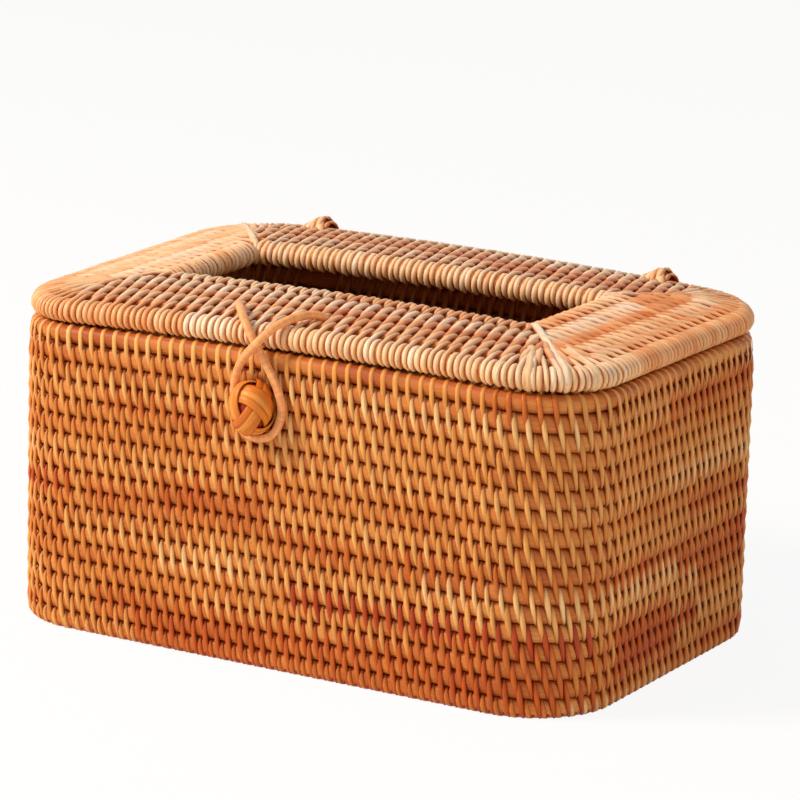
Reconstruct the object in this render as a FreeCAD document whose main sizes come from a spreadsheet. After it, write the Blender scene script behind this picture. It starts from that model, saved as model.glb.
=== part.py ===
"""Rattan tissue box cover: a box of stacked rattan rods with a hinged, slotted lid.

Frame: +Z up, the front with the clasp faces -Y, and the origin is the centre of the underside.
Each rod is eight-sided and turns a corner in short straight runs, which keeps its faces few.
The room between neighbouring rods is where the split-rattan lashing passes.
"""
import FreeCAD, Part
import math
import os
import Sketcher

doc = FreeCAD.newDocument("tissue_box_cover")
sheet = doc.addObject("Spreadsheet::Sheet", "Sizes")

SIZES = {
    # Box wall and base, bare rods in millimetres
    "box_width": 248.6,
    "box_depth": 166.6,
    "corner_bend": 33.3,
    "rod_width": 6.5,
    "course_gap": 0.6,
    "course_count": 16,
    "bend_run_count": 4,
    "base_least_gap": 0.7,
    "base_end_gap": 0.5,
    # Lid
    "lid_seam": 1.9,
    "edge_rod_width": 8.6,
    "panel_rod_width": 8.2,
    "panel_rod_count": 4,
    "slot_rod_width": 8.0,
    "side_gap": 0.5,
    "front_gap": 0.95,
    "lid_crown": 2.6,
    "bend_spare": 0.5,
    # Hinge ties: the middle strand turns on the rim rod, the outer two hold the lid's edge rod;
    # tie_left_offset and tie_right_offset run from the ends of the rear run to the middles of the ties
    "tie_left_offset": 10.5,
    "tie_right_offset": 17.5,
    "tie_strand_width": 4.4,
    "tie_strand": 1.0,
    "tie_band": 0.8,
    "tie_rise": 4.4,
    "tie_play": 0.2,
    "tie_fit": 0.05,
    # Clasp knot and the tail that holds it to a wall rod
    "knot_offset": -7.0,
    "knot_course": 15,
    "knot_drop": 2.0,
    "knot_radius": 8.5,
    "knot_half_height": 10.5,
    "knot_stand": 4.6,
    "knot_run_count": 6,
    "tail_width": 6.0,
    "tail_strip": 0.4,
    "tail_play": 0.1,
    # Clasp strand
    "strand_width": 3.3,
    "knuckle_play": 0.2,
}
for row, (alias, value) in enumerate(SIZES.items(), start=1):
    sheet.set(f"A{row}", alias)
    sheet.set(f"B{row}", str(value))
    sheet.setAlias(f"B{row}", alias)
doc.recompute()

SIDES = 8
TURN = f"(180 deg / {SIDES})"
KNOT_SIDES = 12
STRAND_SIDES = 6
STRAND_TURN = f"(180 deg / {STRAND_SIDES})"
OUTER_STRAND_SHARES = (-1.5, 0.5)
FULL_TURN = 360.0
QUARTER_TURN = 90.0
SHORTER_RUN_SHARE = 0.45

X_AXIS = FreeCAD.Vector(1, 0, 0)
Y_AXIS = FreeCAD.Vector(0, 1, 0)
Z_AXIS = FreeCAD.Vector(0, 0, 1)
FLAT_UP = FreeCAD.Rotation(Z_AXIS, FULL_TURN / SIDES / 2)
ALONG_X = FreeCAD.Rotation(Y_AXIS, QUARTER_TURN)
STANDING_YZ = FreeCAD.Rotation(Y_AXIS, Z_AXIS, X_AXIS, "XYZ")

nodes = []


def size(alias):
    """Value of one cell of the sheet."""
    return float(sheet.get(alias))


def cell(formula):
    """Formula with every size's name pointing at its cell."""
    names = sorted(SIZES, key=len, reverse=True)
    words = formula
    for number, alias in enumerate(names):
        words = words.replace(alias, f"@{number}@")
    for number, alias in enumerate(names):
        words = words.replace(f"@{number}@", f"Sizes.{alias}")
    return words


def bind(thing, **formulas):
    """Tie properties of an object to formulas of the sheet; x, y and z are its place."""
    for name, formula in formulas.items():
        target = f".Placement.Base.{name}" if name in "xyz" else name
        thing.setExpression(target, cell(formula))
    return thing


def solid(kind, name, turn=None, **formulas):
    """Primitive whose sizes and place are formulas of the sheet."""
    thing = doc.addObject(kind, name)
    if turn:
        thing.Placement = FreeCAD.Placement(FreeCAD.Vector(), turn)
    return bind(thing, **formulas)


def keep(thing, label):
    """Name an object as a finished sub-part."""
    thing.Label = label
    nodes.append(thing)
    return thing


def less(name, base, tool):
    """One object with another taken out of it."""
    cut = doc.addObject("Part::Cut", name)
    cut.Base = base
    cut.Tool = tool
    return cut


def polygon_sketch(name, points, turn=None, **place):
    """Closed sketch through points, each a pair of formulas."""
    sketch = bind(doc.addObject("Sketcher::SketchObject", name), **place)
    if turn:
        sketch.Placement = FreeCAD.Placement(FreeCAD.Vector(), turn)
    count = len(points)
    for index in range(count):
        here = 2 * math.pi * index / count
        there = 2 * math.pi * (index + 1) / count
        start = FreeCAD.Vector(math.cos(here), math.sin(here), 0)
        end = FreeCAD.Vector(math.cos(there), math.sin(there), 0)
        sketch.addGeometry(Part.LineSegment(start, end), False)
    rules = [Sketcher.Constraint("Coincident", i, 2, (i + 1) % count, 1) for i in range(count)]
    for index in range(count):
        rules.append(Sketcher.Constraint("DistanceX", -1, 1, index, 1, math.cos(2 * math.pi * index / count)))
        rules.append(Sketcher.Constraint("DistanceY", -1, 1, index, 1, math.sin(2 * math.pi * index / count)))
    sketch.addConstraint(rules)
    for index, (across, up) in enumerate(points):
        sketch.setExpression(f"Constraints[{count + 2 * index}]", cell(across))
        sketch.setExpression(f"Constraints[{count + 2 * index + 1}]", cell(up))
    return sketch


def ring_points(half_x, half_y, bend):
    """Centre line of a ring from the middle of the front: four runs and four corners in chords."""
    runs = int(size("bend_run_count"))
    points = [("0", f"-({half_y})")]
    for quarter, (right, back) in enumerate(((1, -1), (1, 1), (-1, 1), (-1, -1))):
        for step in range(runs + 1):
            angle = QUARTER_TURN * (quarter - 1 + step / runs)
            points.append((
                f"{right} * ({half_x} - ({bend})) + ({bend}) * cos({angle} deg)",
                f"{back} * ({half_y} - ({bend})) + ({bend}) * sin({angle} deg)",
            ))
    return points


def rod_ring(name, width, half_x, half_y, bend, height):
    """Eight-sided rod swept round a ring; half_x and half_y reach its centre line."""
    path = polygon_sketch(f"{name}_path", ring_points(half_x, half_y, bend), z=height)
    section = solid("Part::RegularPolygon", f"{name}_section", ALONG_X * FLAT_UP,
                    Circumradius=f"({width}) / 2 / cos{TURN}", y=f"-({half_y})", z=height)
    section.Polygon = SIDES
    rod = doc.addObject("Part::Sweep", name)
    rod.Sections = [section]
    rod.Spine = (path, [])
    rod.Solid = True
    rod.Transition = "Right corner"
    return rod


# Box wall: courses from the floor up, then the rim rod
PITCH = "(rod_width + course_gap)"
WALL_X = "(box_width / 2 - rod_width / 2)"
WALL_Y = "(box_depth / 2 - rod_width / 2)"
WALL_BEND = "(corner_bend - rod_width / 2)"
RIM_HEIGHT = f"(rod_width / 2 + course_count * {PITCH})"
course_count = int(size("course_count"))


def course_height(number):
    """Height of the centre of a course, counted from 1 at the floor."""
    return f"(rod_width / 2 + {number - 1} * {PITCH})"


def make_wall():
    """Closed courses of rod, one on the other, and the rim rod that the lid hangs on."""
    for number in range(1, course_count + 1):
        name = f"wall_course_{number:02d}"
        rod = rod_ring(f"rod_{number:02d}", "rod_width", WALL_X, WALL_Y, WALL_BEND, course_height(number))
        keep(notched(rod) if number == course_count else rod, name)
    keep(rod_ring("rim", "rod_width", WALL_X, WALL_Y, WALL_BEND, RIM_HEIGHT), "rim_rod")


# The hinge ties turn about the rear run of the rim rod
TIE_BORE = f"(rod_width / 2 / cos{TURN} + tie_play)"
TIE_SIDES = {
    "left": "-(box_width / 2 - corner_bend - tie_left_offset)",
    "right": "(box_width / 2 - corner_bend - tie_right_offset)",
}


def notched(rod):
    """Course under the rim, with room pressed into it for the strand that turns round the rim rod."""
    for side, place in TIE_SIDES.items():
        room = solid("Part::Cylinder", f"tie_room_{side}", ALONG_X,
                     Radius=f"{TIE_BORE} + tie_strand + tie_play",
                     Height="tie_strand_width + 2 * tie_play",
                     x=f"{place} - tie_strand_width / 2 - tie_play", y=WALL_Y, z=RIM_HEIGHT)
        rod = less(f"notched_{side}", rod, room)
    return rod


# Base: straight rods along X inside the lowest course
def make_base():
    """Rods side by side, as many as fit, each ending just short of the lowest course."""
    inner = size("box_depth") - 2 * size("rod_width")
    count = int((inner - size("base_least_gap")) / (size("rod_width") + size("base_least_gap")))
    gap = f"((box_depth - 2 * rod_width - {count} * rod_width) / {count + 1})"
    chord = f"cos(45 deg / {int(size('bend_run_count'))})"
    reach = f"({WALL_BEND} * {chord} - rod_width / 2 - base_end_gap)"
    for index in range(count):
        place = f"((rod_width + {gap}) * {index - (count - 1) / 2})"
        out = f"max(0; abs({place}) + rod_width / 2 - (box_depth / 2 - corner_bend))"
        half = f"(box_width / 2 - corner_bend + sqrt(max(0; {reach}^2 - ({out})^2)))"
        rod = solid("Part::Prism", f"base_{index + 1:02d}", ALONG_X * FLAT_UP,
                    Circumradius=f"rod_width / 2 / cos{TURN}", Height=f"2 * {half}",
                    x=f"-{half}", y=place, z="rod_width / 2")
        rod.Polygon = SIDES
        keep(rod, f"base_rod_{index + 1:02d}")


# Lid: an edge rod, panel rods inside it and a rod round the slot, rising towards the slot
EDGE_X = "(box_width / 2 - edge_rod_width / 2)"
EDGE_Y = "(box_depth / 2 - edge_rod_width / 2)"
EDGE_HEIGHT = f"({RIM_HEIGHT} + rod_width / 2 + lid_seam + edge_rod_width / 2)"
panel_count = int(size("panel_rod_count"))


def lid_ring(name, number, width, inset_rods):
    """Ring of the lid; inset_rods is the panel rods' width between it and the edge rod."""
    across = f"(edge_rod_width + {inset_rods} + {width} / 2)"
    side = f"({across} + {number} * side_gap)"
    front = f"({across} + {number} * front_gap)"
    bend = f"max({width} / 2 + bend_spare; corner_bend - {side})"
    top = f"({EDGE_HEIGHT} + edge_rod_width / 2 + lid_crown * {number} / {panel_count + 1})"
    return rod_ring(name, width, f"(box_width / 2 - {side})", f"(box_depth / 2 - {front})", bend,
                    f"({top} - {width} / 2)")


def make_lid():
    """Edge rod, panel rods and slot rod."""
    edge_bend = "(corner_bend - edge_rod_width / 2)"
    keep(rod_ring("edge", "edge_rod_width", EDGE_X, EDGE_Y, edge_bend, EDGE_HEIGHT), "lid_edge_rod")
    for number in range(1, panel_count + 1):
        rod = lid_ring(f"panel_{number}", number, "panel_rod_width", f"{number - 1} * panel_rod_width")
        keep(rod, f"lid_panel_rod_{number}")
    rod = lid_ring("slot", panel_count + 1, "slot_rod_width", f"{panel_count} * panel_rod_width")
    keep(rod, "lid_slot_rod")


# Hinge ties
def band_points(half, rise):
    """Eight-sided outline about the edge rod, lifted by rise above the middle."""
    near = f"({half}) * tan{TURN}"
    return [
        (half, near), (near, f"{half} + {rise}"), (f"-{near}", f"{half} + {rise}"), (f"-({half})", near),
        (f"-({half})", f"-{near}"), (f"-{near}", f"-({half})"), (near, f"-({half})"), (half, f"-{near}"),
    ]


def band(name, half, rise, start, length):
    """Eight-sided bar along X about the rear run of the edge rod."""
    outline = polygon_sketch(f"{name}_outline", band_points(half, rise), STANDING_YZ,
                             x=start, y=EDGE_Y, z=EDGE_HEIGHT)
    bar = doc.addObject("Part::Extrusion", name)
    bar.Base = outline
    bar.DirMode = "Custom"
    bar.Dir = X_AXIS
    bar.Solid = True
    return bind(bar, LengthFwd=length)


def make_tie(side):
    """Three strands side by side: the middle one round the rim rod, the others round the edge rod."""
    place = TIE_SIDES[side]
    strands = []
    for number, share in enumerate(OUTER_STRAND_SHARES, start=1):
        start = f"({place} + {share} * tie_strand_width)"
        hold = "edge_rod_width / 2 + tie_fit"
        outer = band(f"{side}_band_{number}", f"{hold} + tie_band", "tie_rise", start, "tie_strand_width")
        inner = band(f"{side}_hold_{number}", hold, "0", start, "tie_strand_width")
        strands.append(less(f"{side}_strand_{number}", outer, inner))
    start = f"({place} - tie_strand_width / 2)"
    ring, bore = (
        solid("Part::Cylinder", f"{side}_{name}", ALONG_X, Radius=radius, Height="tie_strand_width",
              x=start, y=WALL_Y, z=RIM_HEIGHT)
        for name, radius in (("ring", f"{TIE_BORE} + tie_strand"), ("bore", TIE_BORE)))
    strands.append(less(f"{side}_turning_strand", ring, bore))
    tie = doc.addObject("Part::MultiFuse", f"tie_{side}")
    tie.Shapes = strands
    keep(tie, f"hinge_tie_{side}")


# Knot of the clasp
KNOT_HEIGHT = f"({course_height(int(size('knot_course')))} - knot_drop)"
KNOT_BACK = "(box_depth / 2 + tail_play + tail_strip)"


def faceted_ball(radius, half_height):
    """Ball of flat faces between rings at equal steps of latitude, with a small flat at each pole."""
    runs = int(size("knot_run_count"))
    half_step = math.pi / 2 / runs
    rings = []
    for step in range(runs):
        latitude = half_step * (2 * step + 1) - math.pi / 2
        around = radius * math.cos(latitude) / math.cos(half_step)
        height = half_height * math.sin(latitude) / math.cos(half_step)
        turns = [2 * math.pi * side / KNOT_SIDES for side in range(KNOT_SIDES)]
        rings.append([FreeCAD.Vector(around * math.cos(t), around * math.sin(t), height) for t in turns])
    outlines = [rings[0], rings[-1]]
    for low, high in zip(rings, rings[1:]):
        for side in range(KNOT_SIDES):
            outlines.append([low[side - 1], low[side], high[side], high[side - 1]])
    faces = [Part.Face(Part.makePolygon(outline + outline[:1])) for outline in outlines]
    return Part.makeSolid(Part.makeShell(faces))


def make_knot():
    """Round knot with a flat back, and the strip that ties it round one rod of the wall."""
    ball = doc.addObject("Part::Feature", "knot_ball")
    ball.Shape = faceted_ball(size("knot_radius"), size("knot_half_height"))
    bind(ball, x="knot_offset", y=f"-({KNOT_BACK} + knot_stand)", z=KNOT_HEIGHT)
    wall_side = solid("Part::Box", "knot_wall_side", Length="2 * knot_radius", Width="2 * knot_radius",
                      Height="2 * knot_half_height", x="knot_offset - knot_radius", y=f"-{KNOT_BACK}",
                      z=f"{KNOT_HEIGHT} - knot_half_height")
    keep(less("knot", ball, wall_side), "clasp_knot")
    tail_center = course_height(int(size("knot_course")))
    boxes = []
    for name, room in (("tail_outer", "(tail_play + tail_strip)"), ("tail_inner", "tail_play")):
        boxes.append(solid("Part::Box", name, Length="tail_width", Width=f"rod_width + 2 * {room}",
                           Height=f"rod_width + 2 * {room}", x="knot_offset - tail_width / 2",
                           y=f"-(box_depth / 2 + {room})", z=f"{tail_center} - rod_width / 2 - {room}"))
    keep(less("tail", *boxes), "clasp_knot_tail")


# Clasp strand: its two ends come up through the lid and it hangs crossed round the knot
LEFT_KNUCKLE = (-12.5, -84.2, 131.2)
RIGHT_KNUCKLE = (0.2, -84.2, 131.2)
LEFT_ROUTE = [(-27.6, -65.4, 130.7), (-26.6, -67.2, 133.9), (-20.5, -75.3, 134.3), LEFT_KNUCKLE]
RIGHT_ROUTE = [(10.4, -65.4, 130.7), (9.6, -67.4, 134.3), (5.2, -75.5, 134.6), RIGHT_KNUCKLE]
LOOP_ROUTE = [
    RIGHT_KNUCKLE, (-4.9, -91.5, 124.8), (-12.5, -89.0, 117.3), (-17.4, -86.6, 108.0), (-18.3, -86.0, 97.5),
    (-13.6, -86.0, 87.9), (-0.6, -86.0, 87.9), (4.3, -86.0, 97.5), (3.2, -86.0, 106.5),
    (-1.6, -86.1, 115.4), (-7.4, -86.7, 124.6), LEFT_KNUCKLE,
]


def strand_path(route):
    """Runs of a route joined by tangent arcs, each as large as its two runs allow."""
    points = [FreeCAD.Vector(*point) for point in route]
    edges = []
    start = points[0]
    for before, corner, after in zip(points, points[1:], points[2:]):
        back = before - corner
        ahead = after - corner
        room = SHORTER_RUN_SHARE * min(back.Length, ahead.Length)
        turn = math.pi - back.getAngle(ahead)
        back.normalize()
        ahead.normalize()
        middle = back + ahead
        middle.normalize()
        radius = room / math.tan(turn / 2)
        print(f"strand bend radius {radius:.1f} mm")
        inside = corner + middle * (radius / math.cos(turn / 2) - radius)
        edges.append(Part.LineSegment(start, corner + back * room).toShape())
        edges.append(Part.Arc(corner + back * room, inside, corner + ahead * room).toShape())
        start = corner + ahead * room
    edges.append(Part.LineSegment(start, points[-1]).toShape())
    return Part.Wire(edges)


def strand(name, route):
    """Six-sided strand along a route."""
    path = doc.addObject("Part::Feature", f"{name}_path")
    path.Shape = strand_path(route)
    ahead = FreeCAD.Vector(*route[1]) - FreeCAD.Vector(*route[0])
    section = doc.addObject("Part::RegularPolygon", f"{name}_section")
    section.Polygon = STRAND_SIDES
    section.Placement = FreeCAD.Placement(FreeCAD.Vector(*route[0]), FreeCAD.Rotation(Z_AXIS, ahead))
    bind(section, Circumradius=f"strand_width / 2 / cos{STRAND_TURN}")
    tube = doc.addObject("Part::Sweep", f"{name}_tube")
    tube.Sections = [section]
    tube.Spine = (path, [])
    tube.Solid = True
    return tube


def knuckle(name, place, play):
    """Round of the strand where it folds over the lid's front edge, along X."""
    round_bar = doc.addObject("Part::Cylinder", name)
    round_bar.Placement = FreeCAD.Placement(FreeCAD.Vector(*place), ALONG_X)
    reach = f"strand_width / cos{STRAND_TURN} + 2 * ({play})"
    bind(round_bar, Radius=f"strand_width / 2 / cos{STRAND_TURN} + ({play})", Height=reach)
    round_bar.setExpression(".Placement.Base.x", cell(f"{place[0]} - ({reach}) / 2"))
    return round_bar


def make_clasp():
    """Two fixed ends on the lid, and the loop that swings from the fold at the front edge."""
    for side, route in (("left", LEFT_ROUTE), ("right", RIGHT_ROUTE)):
        room = knuckle(f"clasp_room_{side}", route[-1], "knuckle_play")
        keep(less(f"clasp_{side}", strand(f"clasp_{side}", route), room), f"clasp_end_{side}")
    loop = doc.addObject("Part::MultiFuse", "loop")
    loop.Shapes = [
        strand("loop", LOOP_ROUTE),
        knuckle("loop_knuckle_left", LEFT_KNUCKLE, "0"),
        knuckle("loop_knuckle_right", RIGHT_KNUCKLE, "0"),
    ]
    keep(loop, "clasp_loop")


make_base()
make_wall()
make_lid()
for tie_side in TIE_SIDES:
    make_tie(tie_side)
make_knot()
make_clasp()
doc.recompute()

for thing in doc.Objects:
    if "Invalid" in thing.State or "Error" in thing.State:
        raise RuntimeError(f"{thing.Name} failed: {thing.State}")
for node in nodes:
    if node.Shape.isNull() or not node.Shape.isValid() or len(node.Shape.Solids) != 1:
        raise RuntimeError(f"{node.Label} is not one valid solid")

os.makedirs("parts", exist_ok=True)
for node in nodes:
    node.Shape.exportStep(f"parts/{node.Label}.step")
print(f"{len(nodes)} sub-parts")
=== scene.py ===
# %% [markdown]
# A rattan tissue box cover, dressed for a picture. The real thing is a stack of rattan rods bent into rounded
# rectangles. Split strips of rattan are stitched round two rods at a time, and thousands of such stitches give
# the basket its look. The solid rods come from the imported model; this script adds round rods, stitches, the
# clasp, the hinge ties, finishes, light and a camera.

# %% Load the frame
from collections import namedtuple

import bpy
import numpy as np
from mathutils import Matrix, Vector


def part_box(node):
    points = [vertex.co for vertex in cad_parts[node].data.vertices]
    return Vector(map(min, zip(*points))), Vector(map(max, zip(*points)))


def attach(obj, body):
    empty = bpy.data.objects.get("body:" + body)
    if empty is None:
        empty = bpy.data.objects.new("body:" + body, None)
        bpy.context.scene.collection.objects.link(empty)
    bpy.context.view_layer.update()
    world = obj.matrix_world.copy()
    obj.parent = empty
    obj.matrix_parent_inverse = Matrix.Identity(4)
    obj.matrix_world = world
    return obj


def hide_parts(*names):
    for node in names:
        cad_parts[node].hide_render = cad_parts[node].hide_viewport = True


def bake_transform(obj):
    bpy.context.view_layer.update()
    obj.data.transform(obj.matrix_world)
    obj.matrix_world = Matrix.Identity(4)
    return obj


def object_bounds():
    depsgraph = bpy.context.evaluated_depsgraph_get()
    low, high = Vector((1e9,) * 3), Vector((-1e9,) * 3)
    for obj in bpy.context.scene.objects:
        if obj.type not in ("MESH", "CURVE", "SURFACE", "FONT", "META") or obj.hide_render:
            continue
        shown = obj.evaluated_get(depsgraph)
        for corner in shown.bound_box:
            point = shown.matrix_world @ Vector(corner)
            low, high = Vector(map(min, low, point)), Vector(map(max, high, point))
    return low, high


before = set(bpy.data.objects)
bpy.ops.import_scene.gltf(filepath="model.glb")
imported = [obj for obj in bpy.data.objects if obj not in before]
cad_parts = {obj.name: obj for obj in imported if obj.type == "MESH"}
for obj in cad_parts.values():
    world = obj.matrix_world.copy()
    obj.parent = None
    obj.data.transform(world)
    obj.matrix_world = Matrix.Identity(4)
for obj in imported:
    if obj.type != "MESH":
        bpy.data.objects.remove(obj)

CAD_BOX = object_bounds()
MM = 0.001
print("CAD box in mm:", [[round(v / MM, 1) for v in corner] for corner in CAD_BOX])

# %% [markdown]
# The camera comes first, because everything else is judged through it. It stands to the right of the front,
# a little above the lid, far away with a long lens, so that the sides of the box stay nearly parallel. The
# picture is a square, so the lens is worked out from the focal length in picture widths.

# %% Camera
AZIMUTH = np.radians(29.75)
ELEVATION = np.radians(13.64)
ROLL = np.radians(-1.64)
DISTANCE = 1570.7 * MM
FOCAL_SHARE = 4086.8 / 800
LOOK_AT = np.array([0.0, 0.0, 60.0]) * MM
FRAMING = np.array([4.68, 25.93]) * MM


def add_object(name, data):
    """Object with this data, at the origin and in the scene."""
    made = bpy.data.objects.new(name, data)
    bpy.context.collection.objects.link(made)
    return made


def camera_axes(azimuth, elevation, roll):
    """Rows are the camera's right, up and back; roll turns right and up about back."""
    right = np.array([np.cos(azimuth), np.sin(azimuth), 0.0])
    forward = np.array([-np.sin(azimuth), np.cos(azimuth), 0.0])
    back = -np.cos(elevation) * forward + np.sin(elevation) * np.array([0.0, 0.0, 1.0])
    up = np.cross(back, right)
    turned_right = np.cos(roll) * right - np.sin(roll) * up
    turned_up = np.sin(roll) * right + np.cos(roll) * up
    return np.stack([turned_right, turned_up, back])


axes = camera_axes(AZIMUTH, ELEVATION, ROLL)
lens = bpy.data.cameras.new("camera")
lens.lens = FOCAL_SHARE * lens.sensor_width
camera = add_object("camera", lens)
place = LOOK_AT + axes.T @ np.array([*FRAMING, DISTANCE])
camera.matrix_world = Matrix.Translation(Vector(place)) @ Matrix(axes.T.tolist()).to_4x4()
bpy.context.scene.camera = camera
print("camera at", np.round(place, 3), "lens", round(lens.lens, 1), "mm")

# %% [markdown]
# Colours are written as sRGB hex values, as a paint shop would give them, and one function turns them into the
# linear values that the shaders want. Rattan strips vary from dark red-brown to pale cream, so a tone between
# 0 and 1 picks a colour from a palette, and each stitch carries its own colour as a mesh attribute.

# %% Colours
def linear(code):
    """sRGB hex to linear RGB: the standard curve, straight near black and a power of 2.4 above."""
    srgb = np.array([int(code[i:i + 2], 16) for i in (1, 3, 5)]) / 255
    return np.where(srgb <= 0.04045, srgb / 12.92, ((srgb + 0.055) / 1.055) ** 2.4)


WALL_PALETTE = ["#b03402", "#c65e0e", "#dc8e3a", "#ecb262", "#fada9e"]
LID_PALETTE = ["#ac4412", "#da7c3c", "#f4b074", "#fed6a6", "#fff0d8"]
KNOT_PALETTE = ["#a02c00", "#cc5a0c", "#e48a2c", "#f8cc84"]
ROD_PALETTE = ["#ac5018", "#d6823a", "#e8b06a"]
# Painted shade where a strip dives between the rods: what is left of red, green and blue there
PAINTED_CREVICE_SHADE = np.array([0.52, 0.16, 0.04])


def palette_colour(palette, tone):
    """Colour of each tone from 0 to 1, by straight steps between the palette's linear colours, with alpha 1."""
    stops = np.stack([linear(code) for code in palette])
    at = np.linspace(0, 1, len(stops))
    channels = [np.interp(tone, at, stops[:, i]) for i in range(3)]
    return np.stack([*channels, np.ones_like(channels[0])], -1)


def with_painted_shade(colours, depth):
    """Colours with the painted crevice shade mixed in by depth, from 0 on the crest to 1 in the crevice."""
    tint = 1 - np.asarray(depth)[..., None] * (1 - PAINTED_CREVICE_SHADE)
    return colours * np.concatenate([tint, np.ones_like(tint[..., :1])], -1)


# %% [markdown]
# Every finish here is rattan with a thin clear varnish: a matt fibrous wood under a satin coat. One function
# adds a node with its settings and links. One finish then serves rods, strips and strands, which differ in the
# size of their grain. The grain is a noise drawn out along the fibres, in the piece's own UV map, whose unit is
# a millimetre.

# %% Finishes
# Clear satin varnish over every finish
VARNISH = {"IOR": 1.5, "Specular IOR Level": 0.3, "Coat Weight": 0.06, "Coat Roughness": 0.3}
STREAK_STRETCH = 12
# From the sum of two noises to a share of the strip's own colour
GRAIN_SHADE = {"From Min": 0.6, "From Max": 1.4, "To Min": 0.66, "To Max": 1.2}


def set_inputs(node, inputs):
    """Set each named input to a value, or link it to a socket or to another node's first output."""
    for name, value in inputs.items():
        value = value.outputs[0] if isinstance(value, bpy.types.Node) else value
        if isinstance(value, bpy.types.NodeSocket):
            node.id_data.links.new(value, node.inputs[name])
        else:
            node.inputs[name].default_value = value


def add_node(tree, kind, settings=None, inputs=None):
    """Add one node, then set its properties and its inputs."""
    made = tree.nodes.new(kind)
    for name, value in (settings or {}).items():
        setattr(made, name, value)
    set_inputs(made, inputs or {})
    return made


def new_finish(name):
    """A new material, with its node tree and its shader."""
    material = bpy.data.materials.new(name)
    material.use_nodes = True
    return material, material.node_tree, material.node_tree.nodes["Principled BSDF"]


def rattan_finish(name, fibre_mm, fibre_length_mm, streak_mm, roughness, bump_mm):
    """Varnished rattan: colour from the mesh, streaked by long grain, with fine fibres in the bump."""
    material, tree, shader = new_finish(name)
    colour = add_node(tree, "ShaderNodeAttribute", {"attribute_name": "rattan_colour"})
    uv = add_node(tree, "ShaderNodeUVMap", {"uv_map": "fibre_mm"})
    fibres = add_node(tree, "ShaderNodeMapping", inputs={
        "Vector": uv, "Scale": (1 / fibre_mm, 1 / fibre_length_mm, 1.0)})
    fine = add_node(tree, "ShaderNodeTexNoise", inputs={
        "Vector": fibres, "Scale": 1.0, "Detail": 3.0, "Roughness": 0.6})
    streaks = add_node(tree, "ShaderNodeMapping", inputs={
        "Vector": uv, "Scale": (1 / streak_mm, 1 / (STREAK_STRETCH * streak_mm), 1.0)})
    broad = add_node(tree, "ShaderNodeTexNoise", inputs={"Vector": streaks, "Scale": 1.0, "Detail": 2.0})
    grain = add_node(tree, "ShaderNodeMath", {"operation": "ADD"}, {0: fine, 1: broad})
    shade = add_node(tree, "ShaderNodeMapRange", inputs={"Value": grain, **GRAIN_SHADE})
    tinted = add_node(tree, "ShaderNodeVectorMath", {"operation": "SCALE"}, {"Vector": colour, "Scale": shade})
    bump = add_node(tree, "ShaderNodeBump", inputs={
        "Height": grain, "Distance": bump_mm * MM, "Strength": 0.6})
    set_inputs(shader, {"Base Color": tinted, "Normal": bump, "Roughness": roughness, **VARNISH})
    return material


# Split rattan skin: hard and smooth, with fibres about 0.3 mm wide along the strip, so it has a satin gloss
strip_finish = rattan_finish("split_rattan_strip", 0.3, 5.0, 1.2, 0.46, 0.06)
# Peeled rattan core: softer and duller, with open fibres
rod_finish = rattan_finish("peeled_rattan_core", 0.45, 9.0, 1.6, 0.62, 0.08)
print("finishes:", strip_finish.name, rod_finish.name)

# %% [markdown]
# All new pieces are grids of points. These helpers number the corners of a grid's quads, and put points, faces,
# a UV map in millimetres and colours into a mesh. A strip is a grid whose columns go round its section and whose
# rows go along it, so it is closed by one cap at each end. The box was lashed by hand and is a little out of
# true, so every point is lifted or lowered by up to five millimetres as it goes into its mesh.

# %% Mesh helpers
HALF_LENGTH, HALF_DEPTH = 120.0 * MM, 80.0 * MM
ARCH, TWIST, SAG = 2.2 * MM, 0.9 * MM, 1.5 * MM
SETTLE_HEIGHTS = np.array([0.0, 117.0, 122.0, 130.0]) * MM
SETTLE_SHARES = np.array([0.0, 1.0, 1.15, 1.36])


def settled(points):
    """Points raised along the middle of the box and lowered at its ends, by the square of x, twisted, by x times
    y, and lowered towards the front. All of it grows from nothing at the floor to the most at the lid."""
    x, y = points[..., 0] / HALF_LENGTH, points[..., 1] / HALF_DEPTH
    share = np.interp(points[..., 2], SETTLE_HEIGHTS, SETTLE_SHARES)
    lift = share * (ARCH * (0.5 - x ** 2) - TWIST * x * y - SAG * (0.5 - 0.5 * y))
    return points + lift[..., None] * np.array([0.0, 0.0, 1.0])


def grid_quads(count, rows, columns, ring=False):
    """Quads of count grids of rows by columns; columns always close round, rows close only on a ring."""
    row = np.arange(rows if ring else rows - 1)[:, None]
    column = np.arange(columns)[None, :]
    ahead = (row + 1) % rows
    beside = (column + 1) % columns
    quad = np.stack(np.broadcast_arrays(row * columns + column, row * columns + beside,
                                        ahead * columns + beside, ahead * columns + column), -1)
    first = np.arange(count)[:, None, None] * rows * columns
    return (first + quad.reshape(1, -1, 4)).reshape(-1, 4)


def grid_caps(count, rows, columns):
    """End faces of count open grids: the first row turned round and the last row as it runs."""
    first = np.arange(count)[:, None] * rows * columns
    column = np.arange(columns)[None, :]
    return np.concatenate([first + column[:, ::-1], first + (rows - 1) * columns + column])


def full_turn(steps):
    """Even angles round a circle."""
    return np.arange(steps) * 2 * np.pi / steps


def fibre_uv(across, along):
    """UV map in millimetres, from lengths across the fibres and along them."""
    return np.stack(np.broadcast_arrays(across, along), -1) / MM


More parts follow.
